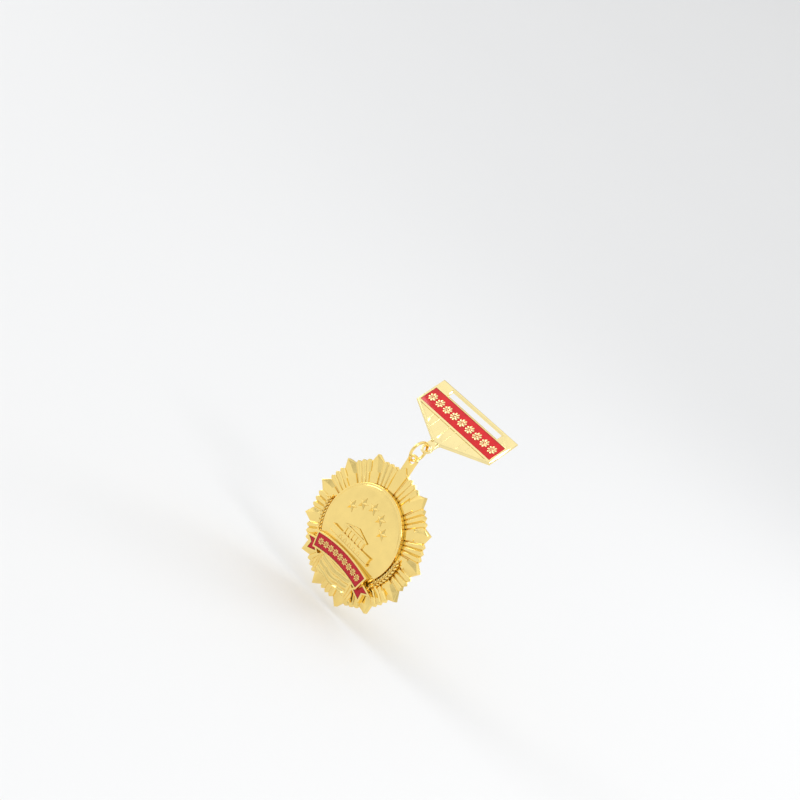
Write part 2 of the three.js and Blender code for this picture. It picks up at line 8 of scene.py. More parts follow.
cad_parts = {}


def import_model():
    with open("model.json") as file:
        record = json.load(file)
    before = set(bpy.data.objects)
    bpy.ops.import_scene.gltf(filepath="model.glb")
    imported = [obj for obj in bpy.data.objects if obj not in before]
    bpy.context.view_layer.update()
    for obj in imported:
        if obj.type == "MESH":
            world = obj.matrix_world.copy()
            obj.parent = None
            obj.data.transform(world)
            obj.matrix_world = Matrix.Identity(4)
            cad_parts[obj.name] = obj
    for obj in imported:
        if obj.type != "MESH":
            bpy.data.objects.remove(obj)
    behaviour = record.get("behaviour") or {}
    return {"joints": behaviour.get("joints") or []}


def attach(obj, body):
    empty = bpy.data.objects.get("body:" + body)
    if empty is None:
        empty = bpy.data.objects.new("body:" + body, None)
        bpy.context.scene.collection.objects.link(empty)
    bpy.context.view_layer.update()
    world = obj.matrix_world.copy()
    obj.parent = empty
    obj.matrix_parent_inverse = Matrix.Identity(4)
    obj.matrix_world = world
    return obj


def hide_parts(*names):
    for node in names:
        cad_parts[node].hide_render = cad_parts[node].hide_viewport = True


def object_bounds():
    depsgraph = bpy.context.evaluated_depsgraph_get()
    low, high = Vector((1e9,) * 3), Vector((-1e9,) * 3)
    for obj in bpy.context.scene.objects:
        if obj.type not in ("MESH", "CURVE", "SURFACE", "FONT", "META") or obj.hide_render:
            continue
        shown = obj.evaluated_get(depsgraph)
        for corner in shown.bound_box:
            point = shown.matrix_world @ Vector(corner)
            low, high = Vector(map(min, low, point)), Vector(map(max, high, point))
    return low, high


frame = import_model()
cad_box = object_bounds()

# The medal's looks. Shapes are worked out in millimetres in two frames, the badge's and the hanger
# bar's (x right, y up, z towards the viewer), and then put into the row frame in metres.

MM = 0.001
WELD = 0.0003
TAU = 2 * math.pi
TOP = math.pi / 2

# ---- sizes, in millimetres ----
RAYS = 13
SMALL_RAYS = 3
TIP_R = 34.8
SMALL_TIP_R = 32.5
VALLEY_R = 31.4
LARGE_HALF = math.radians(6.1)
RAY_STEP = TAU / RAYS
SMALL_STEP = (RAY_STEP - 2 * LARGE_HALF) / SMALL_RAYS
PLATE_BACK = -2.6
PLATE_FRONT = -0.9
VALLEY_Z = -0.85
LARGE_TOP = 0.0
SMALL_TOP = -0.28
PLATE_INNER_R = 20.4
RAY_FOOT_R = 21.95
FACET_R = 27.0
TOP_FACET_R = 31.6
LAST_SHARED_R = 31.0
RIM_STRIP = 0.24
BACK_R = 30.5
BACK_EDGE = 0.12
BACK_GROOVES = (28.8, 23.4, 12.2)
GROOVE_HALF = 0.4
GROOVE_FLOOR_HALF = 0.25
GROOVE_DEPTH = 0.14

# shares of a ray's half angle
SMALL_FLAT = 0.58
LARGE_FLAT = 0.80
FACET_FLAT = 0.50
POINT_FLAT = 0.03
RAY_FOOT = 0.93
SHOULDER_SOFT = 0.04

DISC_R = 21.9
DISC_BACK = -0.6
DISC_EDGE = 1.9
DOME = 1.8
DOME_R = 20.4
RIM_ROUND_OUT = 0.35
RIM_ROUND_UP = 0.45
RIM_STEPS = [(20.95, 0.03), (20.8, -0.02), (20.62, 0.12)]
DISC_CLEAR = 0.02

STARS = 5
STAR_ARC_R = 12.5
STAR_STEP = math.radians(29)
STAR_R = 2.9
STAR_NOTCH = 0.41
STAR_HEIGHT = 1.2
STAR_RIM = 0.12
STAR_ROOT = 0.5

TERRACE_Y = -6.5
# half width, bottom, top and relief
TERRACES = [(13.2, -8.7, -7.9, 0.75), (12.8, -8.0, -5.3, 0.6), (13.1, -5.4, -4.7, 0.85)]
ARCHES = 5
ARCH_STEP = 3.1
ARCH_FOOT = -7.95
ARCH_SPRING = -6.9
ARCH_INNER_R = 0.55
ARCH_OUTER_R = 0.85
COLUMNS = 6
COLUMN_STEP = 2.35
COLUMN_Y = -3
COLUMN_ENDS = (-4.55, -1.65)
CAP_HALF = 0.62
CAP_HALF_HEIGHT = 0.16
# half width, bottom and top
HALL_WALL = (6.6, -4.9, -1.3)
SHAFT = (0.42, -4.8, -1.5)
LINTEL = (7.3, -1.5, -0.85)
GABLE = [(-7.7, -0.95), (7.7, -0.95), (0, 1.75)]
GABLE_INNER = [(-5.4, -0.55), (5.4, -0.55), (0, 1.3)]

BANNER_CENTRE_Y = -81.65
BANNER_OUTER_R = 71.0
BANNER_INNER_R = 64.85
BANNER_HALF = math.radians(13.5)
BANNER_BORDER = 0.75
BANNER_BACK = 0.35
BANNER_FRONT = 4.6
BANNER_EDGE = 0.16
TAIL_FRONT = 3.2
TAIL = [(15.4, -19.4), (13.9, -20.45), (18.65, -22.1), (18.3, -18.85), (21.2, -17.4), (16.9, -16.3)]
POCKET = 0.55
CUTTER_EDGE = 0.01
FILL_GAP = 0.015
FILL_SUNK = 0.13
FILL_UNDER = 0.02
FILL_EDGE = 0.1

ROSETTES = 9
ROSETTE_STEP = math.radians(2.75)
BANNER_ROSETTE_R = 1.62
HANGER_ROSETTE_R = 2.25
HANGER_ROSETTE_STEP = 5.05
PETALS = 8
PETAL_POINTS = 14

CLOTH_HALF = 10.9
CLOTH_FLARE = 3.9
CLOTH_GAP = 0.03
CLOTH_BACK = 0.33
CLOTH_FOLDS = 3.1
CLOTH_SAG = 0.21
SWAG_HALF = 9.6
SWAG_RISE = 0.95
FLUTE_START = 10.0
FLUTE_STEP = 1.45
FLUTE_BASE = 0.20
FLUTE_RISE = 0.26
CLOTH_LIFT = 0.2
CLOTH_RIM_Z = 2.1
CLOTH_FALL = 0.95
CLOTH_OUTER_R = 27.5
HEM_Y = -26.5
HEM_SCALLOP = 0.75
SCALLOPS = 3
FALL_DROP = 0.25
EDGE_TURN = 0.22

SPRIG_R = 23.75
SPRIG_START = math.radians(2)
SPRIG_END = math.radians(-37)
GRAINS = 9
GRAIN_SPLAY = 0.42
GRAIN_Z = 0.95
STALK_Z = 0.75

EYE_R = 2.8
EYE_HOLE_R = 1.5
EYE_THICKNESS = 1.4
EYE_EDGE = 0.5
EYE_ROUNDING = 4
TONGUE_HALF = 2.7
TONGUE_ROOT_Y = 29.5
BADGE_EYE = Vector((0, 39, -1.2))
RING_R = 4.7
RING_CENTRE = BADGE_EYE + Vector((0, RING_R, 0))
WIRE_R = 0.65
SEAM_TURN = math.radians(118)
SEAM_HALF = 0.02

HANGER_HALF = 25.05
HANGER_TOP = 29.8
HANGER_SHOULDER = 13.9
HANGER_FRONT = 1.0
NECK_FOOT_Y = 4.0
NECK_Y = 4.7
NECK_HALF = 3.2
NECK_WAIST = 2.5
NECK_STRIP_HALF = 2.6
NECK_STRIP_TOP = 5.6
SHOULDER_RISE = (HANGER_SHOULDER - NECK_Y) / (HANGER_HALF - NECK_HALF)
BEVEL = 0.62
SCROLL_CENTRE = (1.75, 4.25)
SCROLL_Z = 0.85
# half width, bottom and top
SLOT = (16.8, 25.1, 28.1)
BAND = (23.6, 15.1, 24.1)
FIELD_BORDER = 0.95
FIELD_DEPTH = 0.35
RIB_HALF = 1.95
RIB_STEP = 10.6
RIDGE_HALF = 0.34
RIDGE_TOP_HALF = 0.06
RIDGE_RISE = 0.34

PIN_Y = 19.5
PIN_Z = -3.9
PIN_R = 0.5
HINGE_X = -14.5
CATCH_X = 13.5
RIVET_REACH = 1.75
RIVET_WAIST_R = 0.45
KNUCKLE_R = 1.2
KNUCKLE_HOLE_R = 0.51
KNUCKLE_HALF = 0.6
POINT_LENGTH = 4.0
POINT_PAST_CATCH = 3.6
BAR_HALF = 17.5
BAR_HALF_HEIGHT = 1.8
BAR_CORNER = 1.6
BAR_THICKNESS = 1.1
HOLE_R = 0.8
HOLES_X = (-6, 6)
CHEEK_R = 1.3
CHEEK_INNER = 0.75
CHEEK_OUTER = 1.45
HOUSING_R = 2.1
HOUSING_INNER_R = 1.55
HOUSING_HALF = 1.1
MOUTH_HALF = 1.0
SLEEVE_R = 1.4
SLEEVE_INNER_R = 0.9
SLEEVE_HALF = 1.9
SLIT_HALF = 0.8
TAB_R = 0.62
TAB_X = 2.0

# ---- the two frames ----
joints = {joint["name"]: joint for joint in frame["joints"]}


def frame_matrix(x_axis, y_axis, local, place):
    """Takes a frame with these axes, whose millimetre point `local` is at `place`, to the row frame."""
    x_axis, y_axis = Vector(x_axis), Vector(y_axis)
    turn = Matrix((x_axis, y_axis, x_axis.cross(y_axis))).transposed().to_4x4()
    return Matrix.Translation(place) @ turn @ Matrix.Scale(MM, 4) @ Matrix.Translation(-Vector(local))


BADGE = frame_matrix((1, 0, 0), (0, 0, 1), BADGE_EYE, joints["badge_swing"]["pos_m"])
HANGER = frame_matrix((1, 0, 0), joints["pin_open"]["axis"], (0, PIN_Y, PIN_Z), (0, 0, 0))
BODY_FRAMES = {"badge": BADGE, "ring": BADGE, "hanger": HANGER, "pin": HANGER, "catch": HANGER}


# ---- outlines ----
def polar(radius, angle, centre=(0, 0)):
    return (centre[0] + radius * math.cos(angle), centre[1] + radius * math.sin(angle))


def arc(radius, start, sweep, steps, centre=(0, 0)):
    return [polar(radius, start + sweep * i / steps, centre) for i in range(steps + 1)]


def circle(radius, centre=(0, 0), steps=48):
    return [polar(radius, TAU * i / steps, centre) for i in range(steps)]


def box_loop(half, low, high, x=0.0, corner=0.0):
    """A rectangle about x with its corners rounded by `corner`."""
    if not corner:
        return [(x - half, low), (x + half, low), (x + half, high), (x - half, high)]
    points = []
    places = [(x + half - corner, high - corner), (x - half + corner, high - corner),
              (x - half + corner, low + corner), (x + half - corner, low + corner)]
    for quarter, centre in enumerate(places):
        points += [polar(corner, TOP * (quarter + i / 4), centre) for i in range(5)]
    return points


def mirrored(points):
    return [(-x, y) for x, y in reversed(points)]


# ---- mesh helpers, all in millimetres ----
def from_bmesh(bm):
    bmesh.ops.recalc_face_normals(bm, faces=bm.faces)
    mesh = bpy.data.meshes.new("work")
    bm.to_mesh(mesh)
    bm.free()
    obj = bpy.data.objects.new("work", mesh)
    bpy.context.scene.collection.objects.link(obj)
    return obj


def bake(obj):
    """The object with its modifiers applied, as a new plain mesh object; the old one is removed."""
    graph = bpy.context.evaluated_depsgraph_get()
    mesh = bpy.data.meshes.new_from_object(obj.evaluated_get(graph))
    made = bpy.data.objects.new(obj.name, mesh)
    bpy.context.scene.collection.objects.link(made)
    bpy.data.objects.remove(obj)
    return made


def plate(loops, low, high, edge=0.08, rounding=1):
    """A flat body with the outline loops[0] and the holes loops[1:], its edges rounded by `edge`."""
    curve = bpy.data.curves.new("work", "CURVE")
    curve.dimensions = "2D"
    curve.fill_mode = "BOTH"
    for loop in loops:
        spline = curve.splines.new("POLY")
        spline.points.add(len(loop) - 1)
        for point, place in zip(spline.points, loop):
            point.co = (place[0], place[1], 0, 1)
        spline.use_cyclic_u = True
    curve.extrude = (high - low) / 2 - edge
    curve.bevel_depth = edge
    curve.bevel_resolution = rounding
    curve.offset = -edge
    flat = bpy.data.objects.new("work", curve)
    bpy.context.scene.collection.objects.link(flat)
    obj = bake(flat)
    obj.data.transform(Matrix.Translation((0, 0, (low + high) / 2)))
    bm = bmesh.new()
    bm.from_mesh(obj.data)
    bmesh.ops.remove_doubles(bm, verts=bm.verts, dist=1e-4)
    bmesh.ops.dissolve_limit(bm, angle_limit=0.005, verts=bm.verts, edges=bm.edges)
    bpy.data.objects.remove(obj)
    return from_bmesh(bm)


def lathe(profile, steps):
    """A body of revolution about z from (radius, z) points that start and end on the axis, or that
    start and end at the same point."""
    bm = bmesh.new()
    rings = []
    for radius, z in profile:
        if radius < 1e-6:
            rings.append([bm.verts.new((0, 0, z))])
        else:
            rings.append([bm.verts.new((*polar(radius, TAU * i / steps), z)) for i in range(steps)])
    for first, second in zip(rings, rings[1:]):
        for i in range(steps):
            j = (i + 1) % steps
            corners = [ring[k % len(ring)] for ring, k in ((first, i), (first, j), (second, j), (second, i))]
            bm.faces.new(list(dict.fromkeys(corners)))
    return from_bmesh(bm)


def skin(loops):
    """A closed body through loops of equally many points, with a flat face over each end."""
    bm = bmesh.new()
    rings = [[bm.verts.new(point) for point in loop] for loop in loops]
    count = len(rings[0])
    for first, second in zip(rings, rings[1:]):
        for k in range(count):
            bm.faces.new((first[k], first[(k + 1) % count], second[(k + 1) % count], second[k]))
    bm.faces.new(rings[0][::-1])
    bm.faces.new(rings[-1])
    return from_bmesh(bm)


def round_loop(centre, side, up, radius, sides):
    """A circle of points about `centre` in the plane of two unit vectors."""
    turns = [TAU * k / sides for k in range(sides)]
    return [centre + (side * math.cos(turn) + up * math.sin(turn)) * radius for turn in turns]


def tube(points, radius, sides):
    """A round rod through the points, whose radius is radius(t) at `t` of the way along."""
    last = len(points) - 1
    loops = []
    for i, point in enumerate(points):
        ahead = Vector(points[min(i + 1, last)]) - Vector(points[max(i - 1, 0)])
        along = ahead.normalized()
        side = along.cross(Vector((0, 0, 1))).normalized()
        loops.append(round_loop(Vector(point), side, side.cross(along), radius(i / last), sides))
    return skin(loops)


def combine(obj, others, how):
    """obj joined with or cut by the other bodies, which are used up."""
    for other in others:
        tool = obj.modifiers.new("join", "BOOLEAN")
        tool.operation = how
        tool.solver = "EXACT"
        tool.object = other
    made = bake(obj)
    for other in others:
        bpy.data.objects.remove(other)
    return made


def gather(objects):
    """Several bodies as one object."""
    bm = bmesh.new()
    for obj in objects:
        bm.from_mesh(obj.data)
        bpy.data.objects.remove(obj)
    return from_bmesh(bm)


def soften(obj, width, segments, angle):
    """The body with its edges over `angle` degrees bevelled, by less where the mesh is too fine."""
    tool = obj.modifiers.new("bevel", "BEVEL")
    tool.width = width
    tool.segments = segments
    tool.limit_method = "ANGLE"
    tool.angle_limit = math.radians(angle)
    tool.use_clamp_overlap = True
    return bake(obj)


def moved(obj, x, y, z=0, turn=0):
    obj.data.transform(Matrix.Translation((x, y, z)) @ Matrix.Rotation(turn, 4, "Z"))
    return obj


def mirror_x(obj):
    obj.data.transform(Matrix.Scale(-1, 4, (1, 0, 0)))
    obj.data.flip_normals()
    return obj


def weld(obj):
    """Takes away the faces that have shrunk to nothing."""
    bm = bmesh.new()
    bm.from_mesh(obj.data)
    bmesh.ops.remove_doubles(bm, verts=bm.verts, dist=WELD)
    bmesh.ops.dissolve_degenerate(bm, edges=bm.edges, dist=WELD)
    bm.to_mesh(obj.data)
    bm.free()


# ---- materials ----
def links(material):
    """A function that adds a node to an emptied node tree, with its inputs set or linked."""
    material.use_nodes = True
    tree = material.node_tree
    tree.nodes.clear()

    def node(kind, inputs=None, **settings):
        made = tree.nodes.new(kind)
        for key, value in settings.items():
            setattr(made, key, value)
        for key, value in (inputs or {}).items():
            if isinstance(value, bpy.types.NodeSocket):
                tree.links.new(value, made.inputs[key])
            else:
                made.inputs[key].default_value = value
        return made

    return node


def mix_colour(node, share, first, second):
    """Goes from the first colour to the second, each a socket or (red, green, blue)."""
    ends = [end if isinstance(end, bpy.types.NodeSocket) else (*end, 1) for end in (first, second)]
    return node("ShaderNodeMix", {0: share, 6: ends[0], 7: ends[1]}, data_type="RGBA").outputs[2]


def spread(node, value, low, high, out_low, out_high):
    made = node("ShaderNodeMapRange", {0: value, 1: low, 2: high, 3: out_low, 4: out_high})
    return made.outputs[0]


def noise(node, place, scale, detail, roughness=0.5):
    inputs = {"Vector": place, "Scale": scale, "Detail": detail, "Roughness": roughness}
    return node("ShaderNodeTexNoise", inputs).outputs[0]


def cells(node, place, scale, feature):
    made = node("ShaderNodeTexVoronoi", {"Vector": place, "Scale": scale}, feature=feature)
    return made.outputs["Distance"]


def openness(node, distance):
    """1 on an open face, less in a crevice."""
    return node("ShaderNodeAmbientOcclusion", {"Distance": distance}, samples=8).outputs["AO"]


def total(node, first, second):
    return node("ShaderNodeMath", {0: first, 1: second}, operation="ADD").outputs[0]


def bump(node, height, strength, distance, normal=None):
    inputs = {"Height": height, "Strength": strength, "Distance": distance}
    if normal is not None:
        inputs["Normal"] = normal
    return node("ShaderNodeBump", inputs).outputs[0]


def metal(name, colour, deep, rough, grain=0.0, front=None):
    """Polished plated metal: drifting tone, hairline scratches, painted shade that darkens the crevices
    (which are also made rougher), a slight orange peel.
    Faces that look away from the front of the frame `front` are blasted to an even pebbled satin."""
    material = bpy.data.materials.new(name)
    node = links(material)
    place = node("ShaderNodeTexCoord").outputs["Object"]
    drift = noise(node, place, 180.0, 4.0, 0.55)
    peel = noise(node, place, 900.0, 3.0)
    stretched = {"Vector": place, "Scale": (300.0, 6000.0, 2200.0), "Rotation": (0.3, 0.2, 0.6)}
    hair = noise(node, node("ShaderNodeMapping", stretched).outputs[0], 1.0, 5.0, 0.7)
    dust = noise(node, place, 5200.0, 2.0)
    # crevice_shade: 0 on open faces, up to 1 in crevices, from ambient occlusion
    crevice_shade = spread(node, openness(node, 0.0006), 0.15, 0.8, 1.0, 0.0)
    duller = tuple(c * 0.93 for c in colour)
    tone = mix_colour(node, spread(node, drift, 0.3, 0.7, 0.0, 1.0), colour, duller)
    # painted shade: the base colour darkens towards `deep` in the crevices
    base = mix_colour(node, spread(node, crevice_shade, 0.0, 1.0, 0.0, 0.72), tone, deep)
    roughness = total(node, spread(node, hair, 0.35, 0.75, -0.035, 0.06), rough)
    roughness = total(node, spread(node, dust, 0.62, 0.8, 0.0, 0.12), roughness)
    roughness = total(node, spread(node, crevice_shade, 0.0, 1.0, 0.0, 0.2), roughness)
    normal = bump(node, peel, 0.07, 0.00006)
    normal = bump(node, hair, 0.06, 0.00002, normal)
    normal = bump(node, dust, grain, 0.00005, normal)
    if front is not None:
        back = tuple(-front.col[2].xyz.normalized())
        sides = {0: node("ShaderNodeTexCoord").outputs["Normal"], 1: back}
        facing = node("ShaderNodeVectorMath", sides, operation="DOT_PRODUCT").outputs["Value"]
        blasted = spread(node, facing, 0.8, 0.95, 0.0, 1.0)
        pebbles = {0: cells(node, place, 2600.0, "SMOOTH_F1"), 1: blasted}
        relief = node("ShaderNodeMath", pebbles, operation="MULTIPLY").outputs[0]
        normal = bump(node, relief, 0.35, 0.00006, normal)
        roughness = total(node, spread(node, blasted, 0.0, 1.0, 0.0, 0.22), roughness)
    surface = node("ShaderNodeBsdfPrincipled", {
        "Base Color": base, "Metallic": 1.0, "Roughness": roughness, "Normal": normal,
        "Specular Tint": (1.0, 0.93, 0.78, 1.0)})
    node("ShaderNodeOutputMaterial", {"Surface": surface.outputs[0]})
    return material


def enamel(name, colour, deep):
    """Hard glossy enamel: painted shade that darkens it towards its edges, faint clouding, pinholes, a wavy
    gloss.
    """
    material = bpy.data.materials.new(name)
    node = links(material)
    place = node("ShaderNodeTexCoord").outputs["Object"]
    cloud = noise(node, place, 260.0, 5.0, 0.6)
    speck = cells(node, place, 900.0, "F1")
    wave = noise(node, place, 420.0, 2.0)
    clouded = tuple(c * 0.8 for c in colour)
    tone = mix_colour(node, spread(node, cloud, 0.35, 0.7, 0.0, 1.0), colour, clouded)
    # painted shade: the enamel darkens towards `deep` where ambient occlusion finds the metal walls close
    edged = mix_colour(node, spread(node, openness(node, 0.0007), 0.45, 1.0, 0.85, 0.0), tone, deep)
    dark = tuple(c * 0.5 for c in deep)
    pitted = mix_colour(node, spread(node, speck, 0.06, 0.14, 0.5, 0.0), edged, dark)
    normal = bump(node, wave, 0.12, 0.0001)
    normal = bump(node, spread(node, speck, 0.0, 0.16, 0.0, 1.0), 0.25, 0.00005, normal)
    gloss = spread(node, cloud, 0.3, 0.7, 0.05, 0.12)
    surface = node("ShaderNodeBsdfPrincipled", {
        "Base Color": pitted, "Roughness": gloss, "Normal": normal, "IOR": 1.45})
    node("ShaderNodeOutputMaterial", {"Surface": surface.outputs[0]})
    return material


LOOKS = {
    "gold": metal("badge_gold", (1.0, 0.755, 0.265), (0.30, 0.12, 0.02), 0.10, front=BADGE),
    "pale_gold": metal("hanger_gold", (1.0, 0.83, 0.40), (0.40, 0.19, 0.05), 0.10, front=HANGER),
    "pin_metal": metal("pin_gold", (0.88, 0.66, 0.30), (0.30, 0.14, 0.04), 0.22, grain=0.15),
    "red_enamel": enamel("band_enamel", (0.72, 0.008, 0.014), (0.24, 0.0, 0.003)),
    "deep_red_enamel": enamel("banner_enamel_red", (0.55, 0.004, 0.016), (0.15, 0.0, 0.003)),
}


# ---- star plate ----
def ray_list():
    """(middle angle, half angle, tip radius, top height, radius its facets start at) for every ray,
    anticlockwise from the top one. A small ray has no facets."""
    rays = []
    for k in range(RAYS):
        middle = TOP + k * RAY_STEP
        rays.append((middle, LARGE_HALF, TIP_R, LARGE_TOP, FACET_R if k else TOP_FACET_R))
        for t in range(SMALL_RAYS):
            small_middle = middle + LARGE_HALF + (t + 0.5) * SMALL_STEP
            rays.append((small_middle, SMALL_STEP / 2, SMALL_TIP_R, SMALL_TOP, None))
    return rays


def shoulder(radius, facet_start):
    """Where a ray's flat top ends, as a share of its half angle; a large ray narrows to its point."""
    if facet_start is None:
        return SMALL_FLAT
    if radius < facet_start:
        return LARGE_FLAT
    widest = FACET_FLAT if facet_start == FACET_R else LARGE_FLAT
    return max(POINT_FLAT, widest * (TIP_R - radius) / (TIP_R - facet_start))


def ray_section(radius, top, facet_start):
    """Half of a ray's cross-section as (share of the half angle, height), from its middle to its foot."""
    edge = shoulder(radius, facet_start)
    soft = min(SHOULDER_SOFT, edge / 3)
    drop = top - VALLEY_Z
    return [(0.0, top), (edge * 0.55, top),
            (edge - soft, top - 0.01 * drop), (edge + soft, top - 0.10 * drop),
            (RAY_FOOT - 0.04, VALLEY_Z + 0.10 * drop), (RAY_FOOT + 0.03, VALLEY_Z)]


def star_columns(middle, half, tip, top, facet_start):
    """The ray's lines of vertices, each as a list of (radius, angle, height) from the disc out to the
    rim, round it and back in over the plate's back with its grooves."""
    def spot(side, index, radius):
        if index is None:
            return -1.0, VALLEY_Z
        share, height = ray_section(radius, top, facet_start)[index]
        return side * share, height

    def rim_radius(share):
        return tip - (tip - VALLEY_R) * abs(share)

    count = len(ray_section(LAST_SHARED_R, top, facet_start))
    left = [(-1, None)] + [(-1, i) for i in range(count - 1, 0, -1)]
    right = [(1, i) for i in range(count)]
    shared = (RAY_FOOT_R + 0.03, 23.5, 25.3, FACET_R - 0.08, FACET_R + 0.08, 29.0, LAST_SHARED_R)
    columns = []
    for side, index in left + right:
        line = []
        for radius in (PLATE_INNER_R, RAY_FOOT_R):
            share = spot(side, index, radius + 0.05)[0]
            line.append((radius, middle + half * share, PLATE_FRONT))
        for radius in shared:
            share, height = spot(side, index, radius)
            line.append((radius, middle + half * share, height))
        rim = rim_radius(share)
        for part in (0.16, 0.35, 0.7, 1.0):
            radius = LAST_SHARED_R + part * (rim - RIM_STRIP - LAST_SHARED_R)
            share, height = spot(side, index, radius)
            rim = rim_radius(share)
            line.append((radius, middle + half * share, height))
        share, height = spot(side, index, rim - RIM_STRIP)
        rim = rim_radius(share)
        angle = middle + half * share
        line += [(rim - 0.08, angle, height - 0.06), (rim, angle, height - 0.22)]
        line += [(rim, angle, PLATE_BACK + 0.14), (rim - BACK_EDGE, angle, PLATE_BACK)]
        line.append((BACK_R, angle, PLATE_BACK))
        for groove in BACK_GROOVES:
            floor_z = PLATE_BACK + GROOVE_DEPTH
            line += [(groove + GROOVE_HALF, angle, PLATE_BACK), (groove + GROOVE_FLOOR_HALF, angle, floor_z),
                     (groove - GROOVE_FLOOR_HALF, angle, floor_z), (groove - GROOVE_HALF, angle, PLATE_BACK)]
        columns.append(line)
    return columns


def tongue():
    """The strip that carries the badge's eye, up from behind the top ray."""
    start = math.acos(TONGUE_HALF / EYE_R)
    eye = arc(EYE_R, -start, math.pi + 2 * start, 40, (0, BADGE_EYE.y))
    return [(TONGUE_HALF, TONGUE_ROOT_Y), *eye, (-TONGUE_HALF, TONGUE_ROOT_Y)]


def star_plate():
    bm = bmesh.new()
    columns = [column for ray in ray_list() for column in star_columns(*ray)]
    grid = [[bm.verts.new((*polar(r, a), z)) for r, a, z in column] for column in columns]
    for first, second in zip(grid, grid[1:] + grid[:1]):
        for i in range(len(first) - 1):
            bm.faces.new((first[i], first[i + 1], second[i + 1], second[i]))
    bm.faces.new([column[0] for column in grid])
    bm.faces.new([column[-1] for column in grid])
    bmesh.ops.triangulate(bm, faces=[f for f in bm.faces if len(f.verts) > 4])
    body = from_bmesh(bm)
    low, high = BADGE_EYE.z - EYE_THICKNESS / 2, BADGE_EYE.z + EYE_THICKNESS / 2
    loops = [tongue(), circle(EYE_HOLE_R, (0, BADGE_EYE.y))]
    return combine(body, [plate(loops, low, high, EYE_EDGE, EYE_ROUNDING)], "UNION")


# ---- centre disc ----
def dome_height(x, y):
    return DISC_EDGE + DOME * (1 - (x * x + y * y) / DISC_R**2)


def disc_body(grow=0.0):
    """The plain domed disc with a rounded rim and a fine step inside it, its front and side moved out
    by `grow`."""
    radius = DISC_R + grow
    wall = DISC_EDGE - RIM_ROUND_UP + grow
    profile = [(0, DISC_BACK), (radius - 0.1, DISC_BACK), (radius, DISC_BACK + 0.1), (radius, wall)]
    for i in range(1, 6):
        turn = TOP * i / 5
        out = radius - RIM_ROUND_OUT + RIM_ROUND_OUT * math.cos(turn)
        profile.append((out, wall + RIM_ROUND_UP * math.sin(turn)))
    profile += [(r, DISC_EDGE + rise + grow) for r, rise in RIM_STEPS]
    for i in range(1, 21):
        r = DOME_R * (1 - i / 20)
        profile.append((r, dome_height(r, 0) + grow))
    return lathe(profile, 160)


def faceted_star(x, y, radius, height):
    """A five-pointed star with sharp ridges to its points and an apex in the middle."""
    bm = bmesh.new()
    corners = []
    for i in range(10):
        spot = polar(radius * (1 if i % 2 == 0 else STAR_NOTCH), TOP + i * TAU / 10, (x, y))
        corners.append((spot, dome_height(*spot)))
    low = [bm.verts.new((*spot, z - STAR_ROOT)) for spot, z in corners]
    mid = [bm.verts.new((*spot, z + STAR_RIM)) for spot, z in corners]
    apex = bm.verts.new((x, y, dome_height(x, y) + height))
    for i in range(10):
        j = (i + 1) % 10
        bm.faces.new((low[i], low[j], mid[j], mid[i]))
        bm.faces.new((mid[i], mid[j], apex))
    bm.faces.new(low[::-1])
    return from_bmesh(bm)


def arch_line(x, radius):
    """One edge of a small arch, from its right foot over to its left foot."""
    curve = arc(radius, 0, math.pi, 8, (x, ARCH_SPRING))
    return [(x + radius, ARCH_FOOT), *curve, (x - radius, ARCH_FOOT)]


def hall():
    """A plain columned hall in low relief: steps with small arches, six columns, a lintel and a gable.
    Each part is rooted well under the dome."""
    parts = []
    ground = dome_height(0, TERRACE_Y)
    for half, low, high, rise in TERRACES:
        parts.append(plate([box_loop(half, low, high)], 2.0, ground + rise, 0.1))
    for i in range(ARCHES):
        x = (i - (ARCHES - 1) / 2) * ARCH_STEP
        outline = arch_line(x, ARCH_OUTER_R) + arch_line(x, ARCH_INNER_R)[::-1]
        parts.append(plate([outline], 3.0, ground + 0.78, 0.05))
    wall = dome_height(0, COLUMN_Y)
    parts.append(plate([box_loop(*HALL_WALL)], 2.0, wall + 0.2, 0.06))
    for i in range(COLUMNS):
        x = (i - (COLUMNS - 1) / 2) * COLUMN_STEP
        parts.append(plate([box_loop(*SHAFT, x)], 2.6, wall + 0.55, 0.14, 2))
        for y in COLUMN_ENDS:
            cap = box_loop(CAP_HALF, y - CAP_HALF_HEIGHT, y + CAP_HALF_HEIGHT, x)
            parts.append(plate([cap], 2.6, wall + 0.62, 0.06))
    parts.append(plate([box_loop(*LINTEL)], 2.4, dome_height(0, -1) + 0.62, 0.08))
    parts.append(plate([GABLE, GABLE_INNER], 2.4, dome_height(0, 0) + 0.6, 0.07))
    parts.append(plate([GABLE], 2.4, dome_height(0, 0) + 0.2, 0.05))
    return parts


def centre_disc():
    parts = [disc_body()]
    for i in range(STARS):
        x, y = polar(STAR_ARC_R, TOP + (i - (STARS - 1) / 2) * STAR_STEP)
        parts.append(faceted_star(x, y, STAR_R, STAR_HEIGHT))
    return gather(parts + hall())


# ---- rosettes ----
def rosette(x, y, turn, radius, low, high):
    """Eight slender petals round a bead, as raised lines of metal in the enamel."""
    parts = []
    for i in range(PETALS):
        angle = turn + TAU * (i + 0.5) / PETALS
        middle = polar(radius * 0.62, angle, (x, y))
        petal = []
        for k in range(PETAL_POINTS):
            bend = TAU * k / PETAL_POINTS
            along = radius * 0.36 * math.cos(bend)
            across = radius * 0.19 * math.sin(bend) * (1 + 0.4 * math.cos(bend))
            petal.append((middle[0] + along * math.cos(angle) - across * math.sin(angle),
                          middle[1] + along * math.sin(angle) + across * math.cos(angle)))
        parts.append(plate([petal], low, high, 0.07))
    bead_r, bead_top_r = radius * 0.2, radius * 0.14
    bead = [(0, low), (bead_r, low), (bead_r, high - 0.15), (bead_top_r, high - 0.02), (0, high + 0.04)]
    parts.append(moved(lathe(bead, 16), x, y))
    return parts


